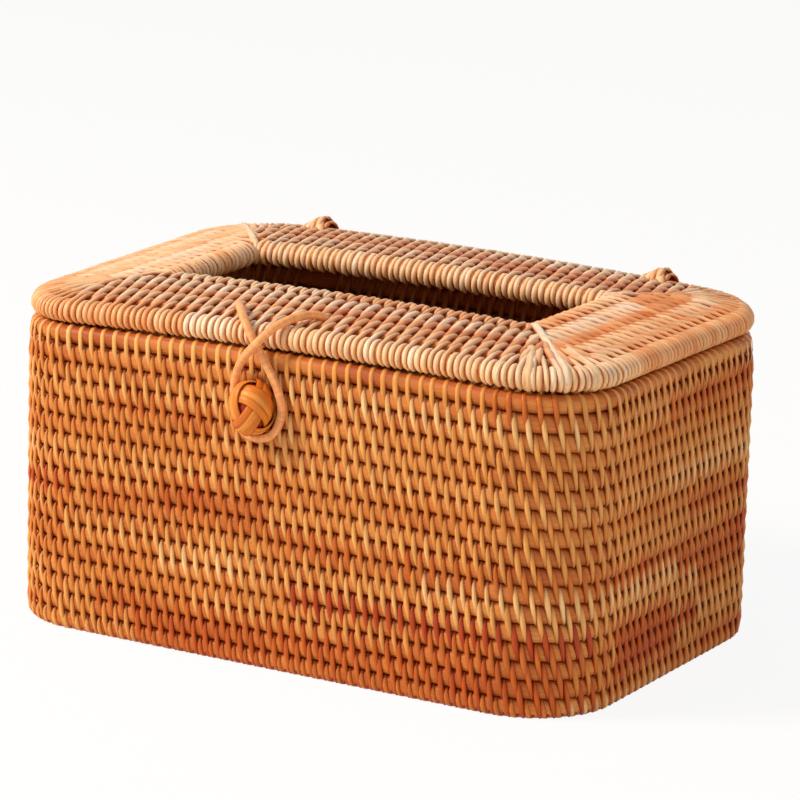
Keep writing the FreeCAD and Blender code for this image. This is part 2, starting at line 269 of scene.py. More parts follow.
def put_mesh(name, points, colours, uv, ring=False):
    """One smooth mesh from an array of grids (count, rows, columns, 3), with rattan_colour and fibre_mm. No
    point of it is lower than the floor."""
    points = np.maximum(points, [-np.inf, -np.inf, 0.0])
    count, rows, columns, _ = points.shape
    faces = grid_quads(count, rows, columns, ring).tolist()
    if not ring:
        faces += grid_caps(count, rows, columns).tolist()
    mesh = bpy.data.meshes.new(name)
    mesh.from_pydata(settled(points).reshape(-1, 3), [], faces)
    mesh.polygons.foreach_set("use_smooth", np.ones(len(faces), bool))
    shown = mesh.attributes.new("rattan_colour", "FLOAT_COLOR", "POINT")
    colours = np.broadcast_to(colours, (*points.shape[:3], 4))
    shown.data.foreach_set("color", colours.astype(np.float32).ravel())
    corners = np.empty(len(mesh.loops), np.int32)
    mesh.loops.foreach_get("vertex_index", corners)
    layer = mesh.uv_layers.new(name="fibre_mm")
    layer.data.foreach_set("uv", uv.reshape(-1, 2)[corners].astype(np.float32).ravel())
    return add_object(name, mesh)


def dress(piece, finish, body, slot, *nodes):
    """Give a piece its finish, the body it moves with and the CAD nodes it stands for. The slot is not used."""
    piece.data.materials.append(finish)
    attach(piece, body)
    if nodes:
        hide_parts(*nodes)
    return piece


def summed(steps):
    """Running sum along the last axis, from 0."""
    return np.concatenate([np.zeros_like(steps[..., :1]), np.cumsum(steps, -1)], -1)


def unit(vectors):
    """Vectors divided by their own lengths."""
    return vectors / np.linalg.norm(vectors, axis=-1, keepdims=True)


# %% [markdown]
# The clasp is one round strand of rattan. Both ends come up through the lid, the strand crosses itself over the
# front edge and hangs as a loop round the knot. Its route is a list of given points, joined by a smooth
# NURBS line. A tube of circles follows points read from that line. The strand is one piece, from the lid to
# the loop.

# %% Clasp strand
STRAND_ROUTE = np.array([
    (-27.6, -65.4, 130.7), (-26.8, -67.4, 133.6), (-20.8, -75.6, 134.2), (-12.5, -85.4, 131.6),
    (-7.4, -86.7, 124.6), (-1.6, -86.1, 115.4), (3.4, -86.0, 106.5), (4.6, -85.8, 97.5), (-0.6, -85.6, 88.6),
    (-12.6, -85.4, 88.6), (-16.4, -85.3, 97.5), (-16.2, -86.4, 108.0), (-12.3, -89.0, 117.3),
    (-4.9, -91.2, 124.8), (0.2, -85.4, 131.8), (5.0, -75.8, 134.4), (9.6, -67.6, 133.8), (10.4, -65.4, 130.7),
]) * MM
STRAND_LOOKED_FROM = np.array([-7.0, -60.0, 108.0]) * MM
STRAND_DIAMETER = 3.2 * MM
STRAND_SIDES = 12
STRAND_TONE = 0.43
# The strand's grain and its rings together, to a share of its colour, and how little a ring winds along it
RING_SHADE = {"From Min": 1.1, "From Max": 1.8}
RING_WIND = 0.05


def nurbs_points(name, route):
    """Points of the smooth line of order 3 that has the route as its control points and its ends as ends."""
    curve = bpy.data.curves.new(name, "CURVE")
    curve.dimensions = "3D"
    spline = curve.splines.new("NURBS")
    spline.points.add(len(route) - 1)
    spline.points.foreach_set("co", np.column_stack([route, np.ones(len(route))]).ravel())
    spline.order_u = 3
    spline.use_endpoint_u = True
    spline.resolution_u = 10
    holder = add_object(name, curve)
    bpy.context.view_layer.update()
    graph = bpy.context.evaluated_depsgraph_get()
    line = bpy.data.meshes.new_from_object(holder.evaluated_get(graph))
    points = np.empty(len(line.vertices) * 3)
    line.vertices.foreach_get("co", points)
    bpy.data.objects.remove(holder)
    bpy.data.curves.remove(curve)
    bpy.data.meshes.remove(line)
    return points.reshape(-1, 3)


def round_tube(path, away, diameter, sides):
    """Circles square to the path's direction; away gives each circle's first spoke. Also its UV in mm."""
    along = unit(np.gradient(path, axis=0))
    across = unit(np.cross(along, away))
    spoke = np.cross(across, along)
    turn = full_turn(sides)
    circle = across[:, None] * np.cos(turn)[:, None] - spoke[:, None] * np.sin(turn)[:, None]
    run = summed(np.linalg.norm(np.diff(path, axis=0), axis=1))
    uv = fibre_uv(turn * diameter / 2, run[:, None])
    return (path[:, None] + circle * diameter / 2)[None], uv[None], run[-1]


def strand_finish(name, ring_mm):
    """Round rattan strand: pale, with fine rings across it where it was bent, worked from its length in UV."""
    material = rattan_finish(name, 0.4, 6.0, 1.5, 0.5, 0.05)
    tree = material.node_tree
    bump, shade, uv = (next(n for n in tree.nodes if n.type == kind) for kind in ("BUMP", "MAP_RANGE", "UVMAP"))
    grain = bump.inputs["Height"].links[0].from_socket
    rings = add_node(tree, "ShaderNodeMapping", inputs={"Vector": uv, "Scale": (RING_WIND, 1 / ring_mm, 1.0)})
    cracks = add_node(tree, "ShaderNodeTexNoise", inputs={"Vector": rings, "Scale": 1.0, "Detail": 2.0})
    both = add_node(tree, "ShaderNodeMath", {"operation": "ADD"}, {0: grain, 1: cracks})
    set_inputs(bump, {"Height": both})
    set_inputs(shade, {"Value": both, **RING_SHADE})
    return material


strand_path = nurbs_points("strand_line", STRAND_ROUTE)
strand_points, strand_uv, strand_length = round_tube(strand_path, strand_path - STRAND_LOOKED_FROM,
                                                     STRAND_DIAMETER, STRAND_SIDES)
strand_colour = palette_colour(LID_PALETTE, np.array(STRAND_TONE))
strand = put_mesh("clasp_strand", strand_points, strand_colour, strand_uv)
strand.data.materials.append(strand_finish("round_rattan_strand", 0.9))
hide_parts("clasp_end_left", "clasp_end_right", "clasp_loop")
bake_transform(strand)
print("clasp strand", round(strand_length / MM, 1), "mm long")

# %% [markdown]
# Each rod of the wall and the lid is a closed ring: four straight runs and four round corners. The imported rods
# are eight-sided with corners in short runs, to keep the solids light, so round rods take their place. A ring
# is read from its node's box, and a point on it is found from the length along it: the heading turns evenly in
# the corners and stays still on the runs, and so does the centre that the corner turns about.

# %% Rings
OUTER_BEND = 33.3 * MM
BEND_SPARE = 0.5 * MM
ROD_SWELL = 0.3 * MM
LID_SWELL = 0.5 * MM
EDGE_TRIM = 0.3 * MM
WALL_FLAT = 0.6
# The lid's rods are drawn tighter at its ends, most on the left, so the slot is longer than even rods leave it
SLOT_LEFT, SLOT_RIGHT = 7.0 * MM, 2.5 * MM
Ring = namedtuple("Ring", "half_x half_y bend height radius swell flat shift")
WALL_NODES = [f"wall_course_{n:02d}" for n in range(1, 17)] + ["rim_rod"]
LID_NODES = ["lid_edge_rod"] + [f"lid_panel_rod_{n}" for n in range(1, 5)] + ["lid_slot_rod"]
BOX_HALF_X = np.subtract(*reversed(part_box("rim_rod")))[0] / 2


def read_ring(node):
    """Centre line and radius of a rod, from its node's box; its corner keeps the box's outer bend."""
    low, high = np.array(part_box(node))
    radius = (high[2] - low[2]) / 2
    half_x, half_y = (high - low)[:2] / 2 - radius
    bend = max(radius + BEND_SPARE, OUTER_BEND - (BOX_HALF_X - half_x))
    return Ring(half_x, half_y, bend, (low[2] + high[2]) / 2, radius, ROD_SWELL, 1.0, 0.0)


def drawn_out(ring, share):
    """Ring lengthened at both ends by its share of what the slot gains there; its middle shifts with that."""
    return ring._replace(half_x=ring.half_x + share * (SLOT_LEFT + SLOT_RIGHT) / 2,
                         shift=share * (SLOT_RIGHT - SLOT_LEFT) / 2)


def half_runs(ring):
    """Half lengths of a ring's straight runs, along X and along Y."""
    return np.array([ring.half_x, ring.half_y]) - ring.bend


def ring_knots(ring):
    """Lengths along a ring at which its runs and corners end, from the middle of the front, anticlockwise."""
    across, deep = half_runs(ring)
    corner = np.pi / 2 * ring.bend
    return summed(np.array([across, corner, 2 * deep, corner, 2 * across, corner, 2 * deep, corner, across]))


def ring_line(ring, length):
    """Points of the centre line at these lengths, and the outward directions there, both in the plane."""
    knots = ring_knots(ring)
    across, deep = half_runs(ring)
    length = np.mod(length, knots[-1])
    heading = np.interp(length, knots, np.radians([0, 0, 90, 90, 180, 180, 270, 270, 360, 360]))
    centre_x = np.interp(length, knots, across * np.array([0, 1, 1, 1, 1, -1, -1, -1, -1, 0]))
    centre_y = np.interp(length, knots, deep * np.array([-1, -1, -1, 1, 1, 1, 1, -1, -1, -1]))
    outward = np.stack([np.sin(heading), -np.cos(heading)], -1)
    return np.stack([centre_x + ring.shift, centre_y], -1) + ring.bend * outward, outward


def pressed(turn, flat):
    """Cosine of the turn to the power flat: under 1 the rod's face is flatter and its crevices are shallower."""
    return np.sign(np.cos(turn)) * np.abs(np.cos(turn)) ** flat


def stand(plane, height):
    """Points in the plane, given a height."""
    return np.concatenate([plane, np.broadcast_to(height, plane.shape[:-1])[..., None]], -1)


# The courses are pressed flat against each other, and the rim rod has stayed round
wall = [read_ring(node)._replace(flat=WALL_FLAT) for node in WALL_NODES]
wall[-1] = wall[-1]._replace(flat=1.0)
lid = [drawn_out(read_ring(node)._replace(swell=LID_SWELL), number / (len(LID_NODES) - 1))
       for number, node in enumerate(LID_NODES)]
# The edge rod gives up some of its thickness to the strips wrapped round it
lid[0] = lid[0]._replace(radius=lid[0].radius - EDGE_TRIM, height=lid[0].height - EDGE_TRIM, swell=0.0)
print("wall ring", [round(v / MM, 2) for v in wall[0]], "lid edge", [round(v / MM, 2) for v in lid[0]])

# %% [markdown]
# A round rod is a circle carried along its ring. The rods touch on the real box, so each is swollen a little
# towards its neighbours, until it meets them. Peeled rattan changes slowly along its length, so its tone is a
# sum of a few slow waves, and the crevices between the rods are darkened with painted shade.

# %% Round rods
ROD_TURN = full_turn(16)
ROD_STEPS = 112
# Painted shade in the crevices between the rods, at its darkest
ROD_PAINTED_SHADE = 0.5
ROD_TONE, TONE_SWING = 0.38, 0.12
TONE_WAVES = np.array([310.0, 127.0, 53.0]) * MM
# Sine of the turn below which the top of the rim rod gets the full painted shade of the dark under the lid
RIM_SHADOW = -0.4


def rod_tone(run, seed):
    """Tone along a rod: three waves of unlike lengths, with phases drawn once for the rod."""
    phase = np.random.default_rng(seed).uniform(0, 2 * np.pi, len(TONE_WAVES))
    waves = sum(np.sin(2 * np.pi * run / wave + start) for wave, start in zip(TONE_WAVES, phase))
    return ROD_TONE + TONE_SWING * waves


def put_rod(node, points, radius, run, seed, depth, body, ring=False):
    """A rod in its node's place, from circles along its run; depth is the painted shade round the circle."""
    colours = with_painted_shade(palette_colour(ROD_PALETTE, rod_tone(run, seed))[:, None], depth[None])
    uv = fibre_uv(ROD_TURN * radius, run[:, None])
    piece = put_mesh(f"round_{node}", points[None], colours[None], uv[None], ring)
    return dress(piece, rod_finish, body, "rattan_rod", node)


def put_ring_rod(node, ring, body, seed, crevice_axis):
    """Circle in the plane of outward and up, carried along the ring. Crevices lie above and below a wall rod,
    and beside a lid rod: the swelling and the painted shade there follow the sine or cosine of the turn."""
    run = np.linspace(0, ring_knots(ring)[-1], ROD_STEPS, endpoint=False)
    line, outward = ring_line(ring, run)
    crevice = crevice_axis(ROD_TURN)
    radius = ring.radius + ring.swell * crevice ** 2
    plane = line[:, None] + outward[:, None] * (radius * pressed(ROD_TURN, ring.flat))[:, None]
    points = stand(plane, ring.height - radius * np.sin(ROD_TURN))
    return put_rod(node, points, radius, run, seed, ROD_PAINTED_SHADE * crevice ** 4, body, ring=True)


def rim_axis(turn):
    """As the sine, but all the top of the rim lies in the dark under the lid, and gets the full painted shade
    there.
    """
    return np.where(np.sin(turn) < RIM_SHADOW, 1.0, np.sin(turn))


for seed, (node, ring) in enumerate(zip(WALL_NODES, wall)):
    put_ring_rod(node, ring, "box", seed, rim_axis if node == "rim_rod" else np.sin)
for seed, (node, ring) in enumerate(zip(LID_NODES, lid), start=len(wall)):
    put_ring_rod(node, ring, "lid", seed, np.cos)
print(len(wall) + len(lid), "round rods in rings")

# %% [markdown]
# A stitch is a flat strip with a rounded back, drawn tight over two rods. It comes out of the gap below one rod,
# bends round it, runs straight to the next rod, bends round that and goes into the gap beyond. Seen square on it
# is a slim lens that leans a little. In a local plane, p runs from rod to rod and q points at the viewer, so on
# each rod the strip is an arc of the angle from q, and between them a run that bows out slightly.

# %% Stitch shape
SECTION_ACROSS = np.array([-0.5, -0.36, 0.0, 0.36, 0.5])
SECTION_HEIGHT = np.array([-0.4, 0.55, 1.0, 0.55, -0.4])
TIP_SHARE = 0.5
BOW = 0.45 * MM
LEAN_START, LEAN_POWER = 0.42, 0.75
# Each strip reads the grain at a place of its own
STRIP_SHIFT = 37.0 * MM
Section = namedtuple("Section", "p q angle share")
# Steps each way from the middle of a row, more than any row needs
ROW_STEPS = np.arange(-60, 61)


def over_rods(ring, other, gap, first, second):
    """Section of strips over a rod at p = 0 and another at p = gap, one strip to each gap. first and second are
    the angles from q on the two rods, in degrees; with no second angles the strip holds one rod alone."""
    first, second = np.radians(first), np.radians(second)
    rows = np.ones((len(gap), 1))
    p = (ring.radius + ring.swell) * np.sin(first) * rows
    q = ring.radius * pressed(first, ring.flat) * rows
    angle = first
    if len(second):
        beyond = gap[:, None] + (other.radius + other.swell) * np.sin(second)
        p = np.concatenate([p, gap[:, None] / 2, beyond], 1)
        q = np.concatenate([q, rows * (ring.radius + other.radius) / 2 + BOW,
                            other.radius * pressed(second, other.flat) * rows], 1)
        angle = np.concatenate([first, [0.0], second])
    run = summed(np.hypot(np.diff(p, axis=1), np.diff(q, axis=1)))
    return Section(p, q, angle[None], run / run[:, -1:])


def lean_along(length, lean, share):
    """Places along the rod: a strip shifts by lean from start to end, most of it near the start."""
    return length[:, None] + lean * (LEAN_START - share ** LEAN_POWER)


def wall_paths(ring, other, length, first, second, lean, side):
    """Strips standing on the wall: p is up and q outward, or inward where side is -1."""
    gap = np.full(len(length), other.height - ring.height)
    section = over_rods(ring, other, gap, first, second)
    line, outward = ring_line(ring, lean_along(length, lean, section.share))
    points = stand(line + outward * (side * section.q)[..., None], ring.height + section.p)
    normals = stand(outward * side * np.cos(section.angle)[..., None], np.sin(section.angle))
    return points, normals, section.share


def lid_paths(ring, other, length, first, second, lean, side):
    """Strips lying on the lid: p is inward and q up, or down where side is -1. The gap between two rods differs
    on the front and the sides, and the strip climbs with the lid's crown."""
    _, outward = ring_line(ring, length)
    gap = np.abs(outward) @ np.array([ring.half_x - other.half_x, ring.half_y - other.half_y])
    gap = gap + outward[:, 0] * (ring.shift - other.shift)
    section = over_rods(ring, other, gap, first, second)
    climb = (other.height - ring.height) * np.clip(section.p / np.maximum(gap, MM)[:, None], 0, 1)
    line, outward = ring_line(ring, lean_along(length, lean, section.share))
    points = stand(line - outward * section.p[..., None], ring.height + climb + side * section.q)
    normals = stand(-outward * np.sin(section.angle)[..., None], side * np.cos(section.angle))
    return points, normals, section.share


def taper(share, tips):
    """Width along a strip as a share of its full width: it swells from each tip along a quarter sine."""
    start, end = (np.clip(distance / tip, 0, 1) for distance, tip in zip((share, 1 - share), tips))
    return TIP_SHARE + (1 - TIP_SHARE) * np.sin(np.pi / 2 * np.minimum(start, end))


def lay_strips(paths, width, thickness, tips):
    """Strip grids along paths: each section point is moved across by width and out by thickness, which falls
    half as far as the width at a tip. Across is square to the path and to the surface. Gives points (strips,
    steps, 5, 3) and UV in mm."""
    points, normals, share = paths
    across = unit(np.cross(unit(np.gradient(points, axis=1)), normals))
    swell = taper(share, tips)
    wide = (width[:, None] * swell)[..., None] * SECTION_ACROSS
    high = (thickness[:, None] * (0.5 + 0.5 * swell))[..., None] * SECTION_HEIGHT
    grid = points[:, :, None] + across[:, :, None] * wide[..., None] + normals[:, :, None] * high[..., None]
    run = summed(np.linalg.norm(np.diff(points, axis=1), axis=-1))
    shift = STRIP_SHIFT * np.arange(len(points))[:, None, None]
    return grid, fibre_uv(wide + shift, run[..., None] + shift)


# %% [markdown]
# One strip lashes a few dozen stitches before the next begins, so stitches change tone in runs along a row.
# Where a strip dives between the rods it lies in shade, so its colour is darkened with painted shade towards
# both tips.

# %% Stitch colours
RUN_LEAST, RUN_MOST = 45 * MM, 210 * MM
RUN_COUNT = 40
# Painted shade towards a tip that shows grows with this power of nearness to it
TIP_POWER = 2.2
# A tip whose taper is no longer than this share is tucked away, and takes no painted shade
HIDDEN_TIP = 0.3
# Palette, and painted shade across a strip from one long edge to the other, for the dark lines between strips,
# on the two bodies that carry stitches
STITCH_PALETTE = {"box": WALL_PALETTE, "lid": LID_PALETTE}
EDGE_PAINTED_SHADE = {"box": np.array([1.0, 0.22, 0.0, 0.22, 1.0]), "lid": np.array([1.0, 0.34, 0.0, 0.34, 1.0])}
# Strips that face down or sideways on the lid get painted warm bounce light: more gold, less pink
PAINTED_BOUNCE_TINT = np.array([0.96, 0.84, 0.64])
PAINTED_BOUNCE_START = 0.5
WIDTH_SPREAD, THICKNESS_SPREAD = 0.07, 0.06


def run_tones(draw, length, tones, shares):
    """Tone at each length: runs of random length along a row, each with a tone drawn from the list."""
    ends = np.cumsum(draw.uniform(RUN_LEAST, RUN_MOST, RUN_COUNT))
    return draw.choice(tones, len(ends) + 1, p=shares)[np.searchsorted(ends, length)]


def strip_colours(body, tones, share, tips):
    """Colour of every point of every strip; its long edges get painted shade, and a tip that shows gets painted
    shade by a power of nearness to it."""
    shown = np.array(tips) > HIDDEN_TIP
    nearness = np.where(share < 0.5, (1 - 2 * share) * shown[0], (2 * share - 1) * shown[1])
    colours = palette_colour(STITCH_PALETTE[body], np.clip(tones, 0, 1))[:, None]
    colours = colours * np.ones((1, share.shape[1], 1))
    unshaded = (1 - nearness ** TIP_POWER)[..., None] * (1 - EDGE_PAINTED_SHADE[body])
    return with_painted_shade(colours[:, :, None], 1 - unshaded)


def put_stitches(name, body, paths, draw, width, thickness, tips, tones):
    """One mesh of stitches, each a little unlike the next."""
    count = len(tones)
    wide = width * draw.normal(1, WIDTH_SPREAD, count)
    high = thickness * draw.normal(1, THICKNESS_SPREAD, count)
    grid, uv = lay_strips(paths, wide, high, tips)
    colours = strip_colours(body, tones, paths[2], tips)
    # Painted warm bounce light: lid strips turn gold as their normals turn down
    if body == "lid":
        turned = np.clip(PAINTED_BOUNCE_START - paths[1][..., 2], 0, 1)[:, :, None, None]
        colours = colours * np.append(1 - turned * (1 - PAINTED_BOUNCE_TINT), np.ones_like(turned), -1)
    return dress(put_mesh(name, grid, colours, uv), strip_finish, body, "rattan_strand")


# %% [markdown]
# The wall has a row of stitches for every two neighbouring courses, inside and outside. Each row is shifted by
# half a stitch against the next, which makes the fish-scale pattern. The top row goes on over the rim to the
# inside, and one more row holds the lowest course by itself. Some runs of strip are dark red-brown, and these
# are listed along the front and the right side. No stitch crosses the rim where a hinge tie turns on it.

# %% Wall stitches
WALL_SEED = 100
WALL_STITCHES = 149
STITCH_WIDTH = 2.3 * MM
STITCH_TIPS = (0.6, 0.31)
STITCH_THICKNESS = 0.9 * MM
RIM_THICKNESS = 0.55 * MM
# The open lid rolls over the rim at the back, so the stitches there are drawn tight
REAR_SHARE = 0.3
STITCH_LEAN = 2.9 * MM
TIE_ROOM = 8.0 * MM
DIVE = [-80, -54, -27, 0]
RISE = [-angle for angle in reversed(DIVE)]
OVER_RIM = [0, 30, 60, 90, 120, 150, 175]
UNDER_FLOOR = [-150, -120, -90, -60, -30, 0, 28, 54, 80]
WALL_TONES = [0.34, 0.5, 0.62, 0.74, 0.88]
WALL_TONE_SHARES = [0.08, 0.24, 0.32, 0.26, 0.1]
WALL_TONE_SPREAD = 0.04
WALL_PLACE_SPREAD = 0.2 * MM
# Each dark run: row from the floor, start and end along the ring in mm from the middle of the front, tone. The
# stitches in a run differ from RUN_MIDDLE by a share of what they differ elsewhere
RUN_MIDDLE, RUN_KEEP = 0.6, 0.3
DARK_RUNS = [
    (0, -60, 120, 0.3), (1, -60, 130, 0.24), (2, -76, 118, 0.3), (3, 60, 135, 0.32), (4, 8, 130, 0.12),
    (8, -118, -88, 0.25), (13, -77, -25, 0.34), (16, 88, 112, 0.3),
    (2, 140, 190, 0.28), (3, 140, 205, 0.22), (4, 140, 185, 0.32), (5, 205, 248, 0.28), (6, 190, 248, 0.22),
    (7, 155, 248, 0.32),
]
TIE_NODES = ["hinge_tie_left", "hinge_tie_right"]
TIE_MIDDLES = [np.mean(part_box(node), axis=0)[0] for node in TIE_NODES]


def darken_runs(tones, row, length, around):
    """Tones with this row's dark runs laid over them."""
    for run_row, start, end, tone in DARK_RUNS:
        inside = np.mod(length / MM - start, around / MM) < end - start
        tones = np.where(inside & (run_row == row), tone + RUN_KEEP * (tones - RUN_MIDDLE), tones)
    return tones


def clear_of_ties(length):
    """True where a place on the wall isn't beside a hinge tie at the back."""
    line, _ = ring_line(wall[-1], length)
    near = np.abs(line[:, :1] - np.array(TIE_MIDDLES)).min(1) < TIE_ROOM
    return ~(near & (line[:, 1] > 0))


def put_wall_row(row, side):
    """Stitches all round over the rod of this number and the one below; row 0 holds the lowest course alone."""
    at_rim = row == len(wall) - 1
    draw = np.random.default_rng(WALL_SEED + 2 * row + (side < 0))
    around = ring_knots(wall[0])[-1]
    length = (np.arange(WALL_STITCHES) + 0.5 * (row % 2)) * around / WALL_STITCHES
    if row >= len(wall) - 2:
        length = length[clear_of_ties(length)]
    tones = run_tones(draw, length, WALL_TONES, WALL_TONE_SHARES)
    tones = tones + draw.normal(0, WALL_TONE_SPREAD, len(length))
    tones = darken_runs(tones, row, length, around)
    length = length + draw.normal(0, WALL_PLACE_SPREAD, len(length))
    lower, upper = wall[max(row - 1, 0)], wall[row]
    first, second = (UNDER_FLOOR, []) if row == 0 else (DIVE, OVER_RIM if at_rim and side > 0 else RISE)
    paths = wall_paths(lower, upper, length, first, second, STITCH_LEAN, side)
    rear = paths[0][:, 0, 1] > half_runs(upper)[1]
    thickness = RIM_THICKNESS * np.where(rear, REAR_SHARE, 1.0) if at_rim else STITCH_THICKNESS
    where = "outside" if side > 0 else "inside"
    return put_stitches(f"wall_stitches_{row:02d}_{where}", "box", paths, draw, STITCH_WIDTH, thickness,
                        STITCH_TIPS, tones)


for row in range(len(wall)):
    for side in (1, -1):
        put_wall_row(row, side)
print("about", 2 * len(wall) * WALL_STITCHES, "wall stitches")

# %% [markdown]
# The lid's stitches lie the same way over its rods, from the edge inward, on each of the four sides. The edge
# rod and the slot rod are wrapped all round. Every other wrap of the edge goes on over the first panel rod, the
# ones between hold the edge alone, and the same happens at the slot. In the corners the stitches fan out.

# %% Lid stitches
LID_SEED = 200
LID_PITCH = 5.3 * MM
LID_WIDTH = 3.5 * MM
LID_THICKNESS = 1.2 * MM
LID_LEAN = 1.8 * MM
WRAP_WIDTH = 2.5 * MM
WRAP_THICKNESS = 0.95 * MM
UNDER_THICKNESS = 0.65 * MM
MITRE_MARGIN = 1.5 * MM
EDGE_TURN = [-190, -160, -130, -100, -75, -50, -25, 0]
EDGE_HOLD = EDGE_TURN + [30, 58, 80]
SLOT_TURN, SLOT_HOLD = ([-angle for angle in reversed(turn)] for turn in (EDGE_TURN, EDGE_HOLD))
CORNER_FANS = [10, 6, 4, 1, 1]
LID_TONES = [0.42, 0.56, 0.68, 0.78, 0.88]
LID_TONE_SHARES = [0.08, 0.2, 0.3, 0.28, 0.14]
LID_TONE_SPREAD = 0.055
LID_PLACE_SPREAD = 0.15 * MM
LID_TIP = 0.5
WRAP_TIPS = (HIDDEN_TIP, HIDDEN_TIP)
# The strips have leaned this share of their way when they reach the slot, and its wraps lie between them
SLOT_LEAN_SHARE = 0.35


def side_middles(ring):
    """Lengths along a ring at the middles of the box's front, right, back and left."""
    knots = ring_knots(ring)
    middles = np.concatenate([[0.0], (knots[2:8:2] + knots[3:8:2]) / 2])
    return middles + ring.shift * np.array([-1, 0, 1, 0])


def straight_places(ring, row, shift):
    """Places of a row's stitches on the four runs: even steps from each middle, shifted, and no further than
    the mitre line, which runs from the edge's corner to the slot's, or the end of the run."""
    places = []
    for number, middle in enumerate(side_middles(ring)):
        outer, inner = ((r.half_x, r.half_y)[number % 2] for r in (lid[0], lid[-1]))
        run = half_runs(ring)[number % 2]
        mitre = outer + (inner - outer) * (row + 0.5) / (len(lid) - 1) - MITRE_MARGIN
        step = ROW_STEPS * LID_PITCH + shift
        places.append(middle + step[np.abs(step) <= min(run, mitre)])
    return np.concatenate(places)


def corner_places(ring, count, offset):
    """Places of fan stitches: count even steps in each of the four corners."""
    knots = ring_knots(ring)
    shares = (np.arange(count) + offset) / count
    return np.concatenate([knots[i] + shares * (knots[i + 1] - knots[i]) for i in (1, 3, 5, 7)])


def put_lid_row(name, ring, other, length, first, second, tips, side, tone_seed):
    """Stitches of one row of the lid, inward over one rod or two."""
    length = np.sort(np.mod(length, ring_knots(ring)[-1]))
    tones = run_tones(np.random.default_rng(tone_seed), length, LID_TONES, LID_TONE_SHARES)
    draw = np.random.default_rng(tone_seed + len(length))
    tones = tones + draw.normal(0, LID_TONE_SPREAD, len(length))
    length = length + draw.normal(0, LID_PLACE_SPREAD, len(length))
    paths = lid_paths(ring, other, length, first, second, LID_LEAN if len(second) else 0.0, side)
    wraps = len(first) > len(DIVE) or len(second) > len(RISE)
    width, thickness = (WRAP_WIDTH, WRAP_THICKNESS) if wraps else (LID_WIDTH, LID_THICKNESS)
    thickness = thickness if side > 0 else UNDER_THICKNESS
    return put_stitches(name, "lid", paths, draw, width, thickness, tips, tones)


def lid_places(ring, row, shift, fan, offset):
    """Places of a row's stitches on the runs and in the corners."""
    return np.concatenate([straight_places(ring, row, shift), corner_places(ring, fan, offset)])


for row, (ring, other) in enumerate(zip(lid, lid[1:])):
    for side, where in ((1, "top"), (-1, "under")):
        length = lid_places(ring, row, -0.5 * LID_PITCH * (row % 2), CORNER_FANS[row], 0.5)
        first = EDGE_TURN if row == 0 and side > 0 else DIVE
        second = SLOT_TURN if row == len(lid) - 2 and side > 0 else RISE
        tips = (LID_TIP if first is DIVE else HIDDEN_TIP, LID_TIP if second is RISE else HIDDEN_TIP)
        put_lid_row(f"lid_stitches_{row}_{where}", ring, other, length, first, second, tips, side,
                    LID_SEED + row)
edge_places = lid_places(lid[0], 0, 0.5 * LID_PITCH, CORNER_FANS[0], 0.0)
put_lid_row("lid_edge_wraps", lid[0], lid[1], edge_places, EDGE_HOLD, [], WRAP_TIPS, 1, LID_SEED)
slot_shift = 0.5 * LID_PITCH - SLOT_LEAN_SHARE * LID_LEAN
slot_places = lid_places(lid[-1], len(lid) - 1.5, slot_shift, CORNER_FANS[-1], 0.5)
# The slot's wraps are of the same runs of strip as the row beside them
put_lid_row("lid_slot_wraps", lid[-1], lid[-2], slot_places, SLOT_HOLD, [], WRAP_TIPS, 1,
            LID_SEED + len(lid) - 2)
print("lid rows laid")

# %% [markdown]
# At two corners of the lid, front right and back left, a few strips run from the slot's corner or from half way
# across the rods and over the edge, where they bind the mitre. Each is a straight run just above the rods, then
# an arc round the edge rod.

# %% Corner strips
CORNER_SEED = 320
# Turn of each strip from the front, anticlockwise, and where it starts between the slot's corner and the edge
CORNER_STRIPS = np.array([(20.0, 0.55), (45.0, 0.0), (66.0, 0.55), (225.0, 0.0)])
CORNER_TONES = np.array([0.74, 0.92, 0.8, 0.85])
CORNER_FLOAT = 0.6 * MM
# A strip's inner end dives between the rods at a slope
CORNER_DIVE = 40.0 * MM
CORNER_TIPS = (0.12, HIDDEN_TIP)
CORNER_ARC = np.radians([-20, -50, -80, -110, -140, -170])
CORNER_SHARES = np.array([-0.1, -0.03, 0.05, 0.25, 0.5, 0.75, 0.92])


def corner_paths(strips):
    """Strips from inside the lid outward at each turn, just above the rods, then round the edge rod."""
    edge, slot = lid[0], lid[-1]
    heading, start = np.radians(strips[:, 0]), strips[:, 1]
    outward = np.stack([np.sin(heading), -np.cos(heading)], -1)
    crest = np.sign(outward) * half_runs(edge) + edge.bend * outward
    inner = np.sign(outward) * [slot.half_x, slot.half_y] + [slot.shift, 0]
    low, high = edge.height + edge.radius, slot.height + slot.radius + LID_THICKNESS
    share = start[:, None] + CORNER_SHARES * (1 - start[:, None])
    height = high + (low + CORNER_FLOAT - high) * share - CORNER_DIVE * np.clip(-CORNER_SHARES, 0, 1)
    straight = stand(inner[:, None] * (1 - share[..., None]) + crest[:, None] * share[..., None], height)
    flat_arc = crest[:, None] - outward[:, None] * (edge.radius * np.sin(CORNER_ARC))[:, None]
    arc = stand(flat_arc, edge.height + (edge.radius + CORNER_FLOAT) * np.cos(CORNER_ARC))
    points = np.concatenate([straight, arc], 1)
    up = np.zeros_like(straight) + [0, 0, 1]
    round_edge = stand(-outward[:, None] * np.sin(CORNER_ARC)[:, None], np.cos(CORNER_ARC))
    share = np.linspace(0, 1, points.shape[1])[None] * np.ones((len(points), 1))
    return points, np.concatenate([up, round_edge], 1), share


put_stitches("lid_corner_strips", "lid", corner_paths(CORNER_STRIPS), np.random.default_rng(CORNER_SEED),
             LID_WIDTH, WRAP_THICKNESS, CORNER_TIPS, CORNER_TONES)
print(len(CORNER_STRIPS), "corner strips")

# %% [markdown]
# The hinge is two ties of strip. On each, five loops go round the lid's edge rod and two round the rim rod below
# it, and two more strips cross over the top. They stand up a little above the lid's back edge.

